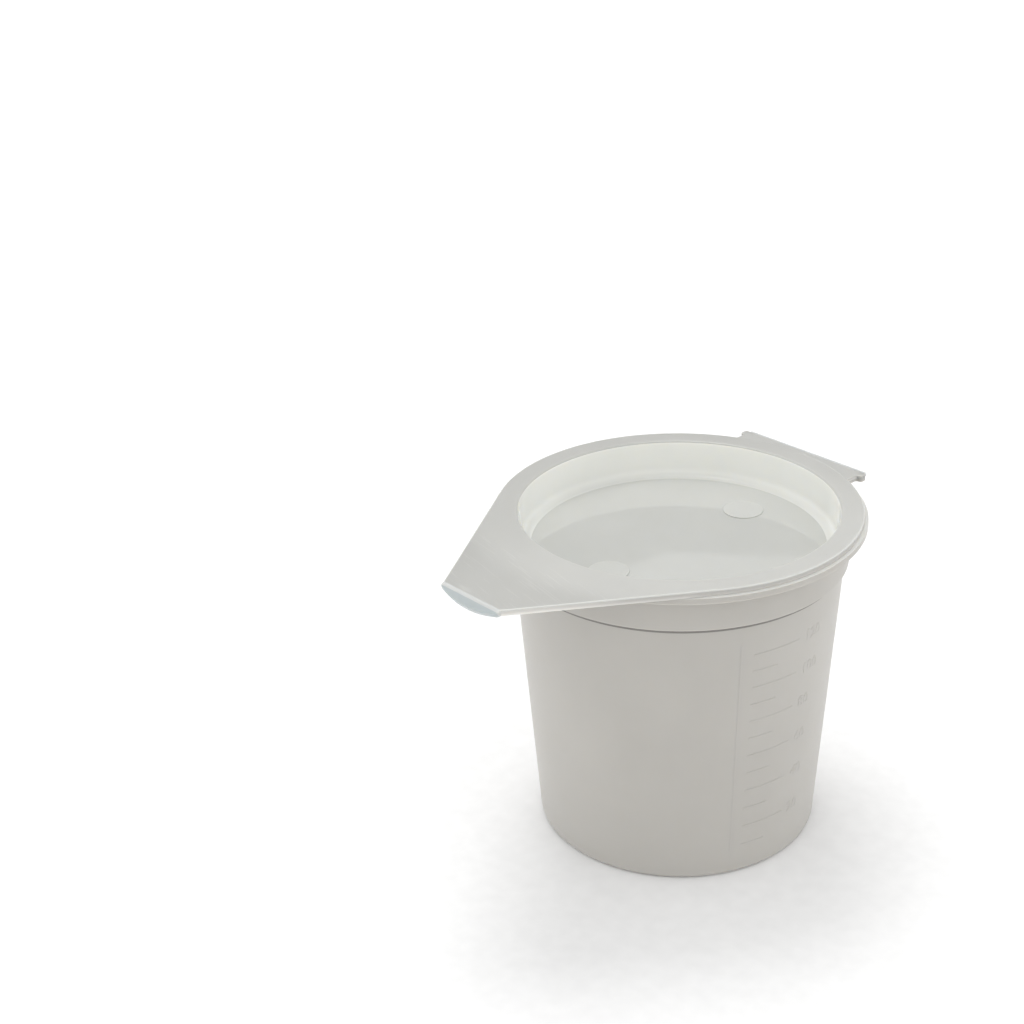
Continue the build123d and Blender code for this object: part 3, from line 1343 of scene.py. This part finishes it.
    def on_edge(self, face: bmesh.types.BMFace) -> bool:
        """Whether a face belongs to the rounded upper edge all round the plate.

        Args:
            face: The face.

        Returns:
            True on the rounding, but not on the level top or the upright side.
        """
        outside = reach(face) > self.sizes.lid_flange_radius - self.edge_zone
        high = middle_level(face) > self.top - self.edge_rounding
        return outside and high and UPRIGHT <= face.normal.z < LEVEL

    def on_leaf(self, face: bmesh.types.BMFace) -> bool:
        """Whether a face belongs to the hinge leaf."""
        return max(vertex.co.y for vertex in face.verts) > self.sizes.lid_flange_radius + 5 * HAIR

    def on_crease(self, face: bmesh.types.BMFace) -> bool:
        """Whether a face belongs to the bend between the tab and its lip."""
        spread = [vertex.co.y for vertex in face.verts]
        return self.crease + HAIR > max(spread) and min(spread) > -self.tab_reach - self.crease_zone

    def in_well(self, face: bmesh.types.BMFace) -> bool:
        """Whether a face belongs to the well."""
        below_rim = self.floor_level - 10 * HAIR < middle_level(face) < self.top - self.rim_zone
        return below_rim and reach(face) < self.recess_root_radius + 10 * HAIR

    def on_pad(self, face: bmesh.types.BMFace) -> bool:
        """Whether a face of the well belongs to one of the two pads."""
        spread = max(hypot(vertex.co.x, abs(vertex.co.y) - self.pad_offset) for vertex in face.verts)
        return spread < self.pad_radius + 5 * HAIR and middle_level(face) > self.floor_level + 2 * HAIR


@dataclass
class FilmHinge:
    """The thin web between the two leaves, which folds as the lid shuts."""

    sizes: FrameSizes
    thickness: float = 0.25 * MM
    overlap: float = 0.4 * MM  # into each leaf
    fold_inset: float = 0.12 * MM  # of the folded edge from the hinge's axis

    def build(self) -> bpy.types.Object:
        """Draw the folded strip that joins the cup's leaf to the lid's, and widen it.

        Returns:
            The film.
        """
        fold = self.sizes.fold
        inner = fold.z - self.sizes.rim_level
        outer = inner + self.thickness
        tail, bend = self.sizes.leaf_edge - self.overlap, fold.y - self.fold_inset
        half = [(tail, outer), (bend, outer), (bend, -outer), (tail, -outer)]
        inner_bend = bend - self.thickness
        back = [(tail, -inner), (inner_bend, -inner), (inner_bend, inner), (tail, inner)]
        side = -self.sizes.film_half_width
        corners = [Corner(Vector((side, y, fold.z + rise))) for y, rise in half + back]
        film = Workpiece.outlined("living_hinge", corners)
        film.thicken(Vector((2 * self.sizes.film_half_width, 0, 0)))
        film.smooth()
        film.paint(FILM)
        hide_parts("hinge_film")
        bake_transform(film.obj)
        return film.obj


@dataclass
class Studio:
    """Pale floor, soft light and the camera."""

    sizes: FrameSizes
    floor_size: float = 16.0
    floor_dark: float = 0.91
    floor_light: float = 0.94
    floor_speck_scale: float = 300.0
    key_place: tuple[float, float, float] = (-0.5, 0.3, 1.6)
    key_size: float = 0.7
    key_power: float = 9.0
    sensor: float = 36.0
    clip: tuple[float, float] = (0.01, 10.0)
    lens: float = 65.36
    pitch: float = radians(25.41)
    roll: float = radians(-2.0)
    heading: float = radians(49.18)  # of the camera's right hand, from +X
    sideways: float = 0.8865  # the camera's places, in flange radii
    backwards: float = 8.9526
    height: float = 6.1085
    surround: float = 1.0
    backdrop_dim: float = 0.27  # brightness of the strip low behind the beaker
    backdrop_bright: float = 0.9  # and of the rest behind it
    backdrop_side: tuple[float, float] = (0.45, 0.75)  # how far behind the beaker it sets in
    backdrop_top: tuple[float, float] = (0.472, 0.473)  # sines of the heights between which it ends
    backdrop_foot: tuple[float, float] = (0.12, 0.08)  # and between which it begins, from the top down
    backdrop_slope: float = 0.27  # of its top, which falls to the right as far as the next value
    backdrop_slope_end: float = 0.083

    def build(self) -> None:
        """Set the floor, the lights, the camera and the colour view."""
        self.lay_floor()
        self.light()
        self.aim_camera()
        bpy.context.scene.view_settings.view_transform = "Standard"

    def lay_floor(self) -> None:
        """Lay a wide pale floor under the foot, out to the horizon."""
        deselect_all()
        bpy.ops.mesh.primitive_plane_add(size=self.floor_size)
        floor = bpy.context.object
        floor.name = "studio_floor"
        floor.data.materials.append(bpy.data.materials.new("pale_floor"))
        board = NodeBoard(floor.data.materials[0])
        place = board.add("ShaderNodeTexCoord", {}).outputs["Object"]
        speck = board.noise(place, self.floor_speck_scale, detail=2.0)
        tone = board.tint(speck, grey(self.floor_dark), grey(self.floor_light))
        board.feed(board.shader, {"Base Color": tone, "Roughness": 0.9, "Specular IOR Level": 0.1})

    def light(self) -> None:
        """Hang a soft light overhead in an even surround, with a dim strip behind the beaker."""
        world = bpy.data.worlds.new("soft_surround")
        board = NodeBoard(world, "Background")
        direction = board.add("ShaderNodeTexCoord", {}).outputs["Generated"]
        rise = board.along(direction, (0.0, 0.0, 1.0))
        behind = board.along(direction, (-sin(self.heading), cos(self.heading), 0.0))
        aside = board.along(direction, (cos(self.heading), sin(self.heading), 0.0))
        sloping = board.calculate("MINIMUM", aside, self.backdrop_slope_end)
        height = board.calculate("MULTIPLY_ADD", sloping, self.backdrop_slope, rise)
        above = board.measure(height, *self.backdrop_top)
        backdrop = board.mix(above, grey(self.backdrop_dim), grey(self.backdrop_bright))
        sky = board.mix(board.measure(behind, *self.backdrop_side), grey(1.0), backdrop)
        sky = board.mix(board.measure(rise, *self.backdrop_foot), sky, grey(1.0))
        board.feed(board.shader, {"Color": sky, "Strength": self.surround})
        bpy.context.scene.world = world
        self.softbox("key", Vector(self.key_place), self.key_size, self.key_power)

    def softbox(self, name: str, place: Vector, size: float, power: float) -> None:
        """Add one square soft light that faces the beaker.

        Args:
            name: The light's name.
            place: Where it hangs.
            size: The length of its sides.
            power: Its power in watts.
        """
        deselect_all()
        bpy.ops.object.light_add(type="AREA", location=place)
        lamp = bpy.context.object
        lamp.name = name
        lamp.data.size = size
        lamp.data.energy = power
        lamp.rotation_mode = "QUATERNION"
        lamp.rotation_quaternion = (-place).to_track_quat("-Z", "Y")

    def aim_camera(self) -> None:
        """Place the camera and make it the scene's own."""
        unit = self.sizes.flange_radius
        right = Vector((cos(self.heading), sin(self.heading), 0))
        forward = Vector((-right.y, right.x, 0))
        place = -(self.sideways * right + self.backwards * forward) * unit
        place.z = self.height * unit
        look = cos(self.pitch) * forward - sin(self.pitch) * Vector((0, 0, 1))
        up = right.cross(look)
        rolled_right = cos(self.roll) * right + sin(self.roll) * up
        rolled_up = -sin(self.roll) * right + cos(self.roll) * up
        deselect_all()
        bpy.ops.object.camera_add()
        camera = bpy.context.object
        camera.data.sensor_width = self.sensor
        camera.data.lens = self.lens
        camera.data.clip_start, camera.data.clip_end = self.clip
        axes = Matrix((rolled_right, rolled_up, -look)).transposed()
        camera.matrix_world = Matrix.Translation(place) @ axes.to_4x4()
        bpy.context.scene.camera = camera


def report(piece: bpy.types.Object) -> None:
    """Log a piece's name and how many faces it has."""
    log.info("%s: %d faces", piece.name, len(piece.data.polygons))


def main() -> None:
    """Build the beaker and its studio, and report each piece."""
    logging.basicConfig(level=logging.INFO, format="%(name)s: %(message)s")
    Studio(SIZES).build()
    cup = Cup(SIZES)
    report(cup.build())
    for piece in Scale(cup).build():
        report(piece)
    report(Lid(SIZES, cup).build())
    report(FilmHinge(SIZES).build())


if __name__ == "__main__":
    main()
